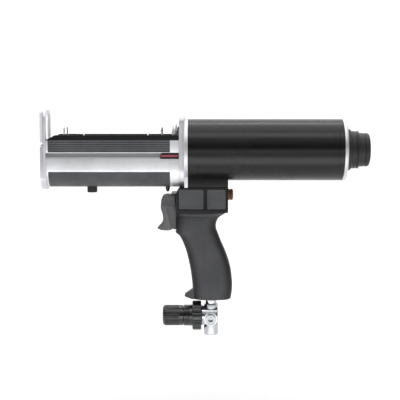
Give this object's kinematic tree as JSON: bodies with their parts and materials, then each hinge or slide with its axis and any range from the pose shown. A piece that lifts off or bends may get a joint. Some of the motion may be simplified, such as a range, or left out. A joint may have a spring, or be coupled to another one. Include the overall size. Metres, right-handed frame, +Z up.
{
  "type": "pneumatic cartridge gun",
  "caption": "Air powered two-component caulking gun: pistol grip with trigger valve and regulator, open cartridge trough, twin plungers driven by a large black cylinder.",
  "frame": {"origin": "middle of the hand grip, on the gun's middle plane, 156 mm below the ram axis", "axes": "+X to the rear along the ram axis (the muzzle is at -X), +Y to the gun's right side, +Z up"},
  "size_m": [0.4676, 0.089, 0.3257],
  "materials": {
    "anodised_aluminium": "fine brushed, clear anodised",
    "cast_aluminium": "bead blasted, clear anodised",
    "black_cylinder": "satin black anodised tube",
    "dark_panel": "dark grey satin film",
    "black_plastic": "moulded black plastic, fine texture",
    "grip_plastic": "moulded charcoal plastic, leather-fine texture",
    "trigger_plastic": "moulded grey-black plastic",
    "steel": "bright ground steel",
    "chrome": "nickel-chrome plated",
    "black_steel": "black oxide",
    "rubber": "black nitrile rubber",
    "brass": "sintered bronze",
    "red_flag": "red plastic",
    "tube_plastic": "blue polyurethane tube"
  },
  "bodies": {
    "frame": {"front_plate": "cast_aluminium", "front_hoop": "cast_aluminium", "lever_screw": "steel", "carrier_trough": "anodised_aluminium", "rear_collar": "anodised_aluminium", "upper_side_strips": "dark_panel", "lower_trough_skin": "dark_panel", "cradle_rail_left": "black_plastic", "cradle_rail_right": "black_plastic", "barrel_clips": "steel", "bumper_foot": "rubber", "carrier_lock_screw": "black_steel", "rear_plate": "cast_aluminium", "cylinder_front_cap": "cast_aluminium", "frame_bolts": "black_steel", "rod_bushes": "brass", "rod_seals": "rubber", "cylinder_tube": "black_cylinder", "cylinder_rear_cap": "cast_aluminium", "cap_orings": "rubber", "rear_cover": "black_plastic", "valve_housing": "black_plastic", "housing_panels_left": "dark_panel", "housing_panels_right": "dark_panel", "saddle_plate": "black_plastic", "saddle_screws": "black_steel", "trigger_pin": "black_steel", "valve_sleeve": "brass", "valve_spring": "steel", "valve_end_plug": "brass", "exhaust_silencer": "brass", "grip_shell_left": "grip_plastic", "grip_shell_right": "grip_plastic", "grip_screws": "black_steel", "air_tube": "tube_plastic", "regulator_body": "chrome", "gauge_port_plugs": "chrome", "inlet_adapter": "chrome", "regulator_bonnet": "black_plastic", "bonnet_ring_nut": "black_plastic", "diaphragm": "rubber", "poppet_valve": "brass", "adjusting_spring": "steel"},
    "ram": {"ram_rods": "steel", "ram_piston": "cast_aluminium", "piston_seals": "rubber", "rod_nuts": "steel", "upper_plunger": "anodised_aluminium", "lower_plunger": "black_plastic", "plunger_screws": "steel"},
    "trigger": {"trigger": "trigger_plastic"},
    "valve_spool": {"valve_spool": "steel"},
    "adjusting_screw": {"adjusting_screw": "steel"},
    "regulator_knob": {"regulator_knob": "black_plastic"},
    "spring_seat": {"spring_seat": "steel"},
    "marker": {"marker_slide": "black_plastic", "marker_flag": "red_flag"},
    "neck_lock": {"neck_lock_lever": "anodised_aluminium"}
  },
  "joints": [
    {"name": "ram_slide", "type": "slide", "parent": "frame", "child": "ram", "axis": [-1, 0, 0], "range_m": [0, 0.158]},
    {"name": "trigger_hinge", "type": "hinge", "parent": "frame", "child": "trigger", "pos_m": [-0.039, 0, 0.085], "axis": [0, -1, 0], "range_deg": [0, 5], "stiffness_Nm_per_rad": 1.5},
    {"name": "spool_slide", "type": "slide", "parent": "frame", "child": "valve_spool", "axis": [1, 0, 0], "range_m": [0, 0.0009], "deforming": ["valve_spring"]},
    {"name": "adjusting_screw_turn", "type": "hinge", "parent": "frame", "child": "adjusting_screw", "pos_m": [-0.04, 0, -0.085], "axis": [1, 0, 0], "range_deg": [0, 1080]},
    {"name": "knob_pull", "type": "slide", "parent": "adjusting_screw", "child": "regulator_knob", "axis": [-1, 0, 0], "range_m": [0, 0.003]},
    {"name": "spring_seat_slide", "type": "slide", "parent": "frame", "child": "spring_seat", "axis": [1, 0, 0], "range_m": [0, 0.003], "deforming": ["adjusting_spring"]},
    {"name": "marker_slide", "type": "slide", "parent": "frame", "child": "marker", "axis": [-1, 0, 0], "range_m": [0, 0.15]},
    {"name": "neck_lock_swing", "type": "hinge", "parent": "frame", "child": "neck_lock", "pos_m": [-0.233, -0.023, 0.168], "axis": [-1, 0, 0], "range_deg": [0, 90]}
  ],
  "couplings": [
    {"joint": "spool_slide", "follows": "trigger_hinge", "m_per_rad": 0.01},
    {"joint": "spring_seat_slide", "follows": "adjusting_screw_turn", "m_per_rad": 0.000159}
  ]
}
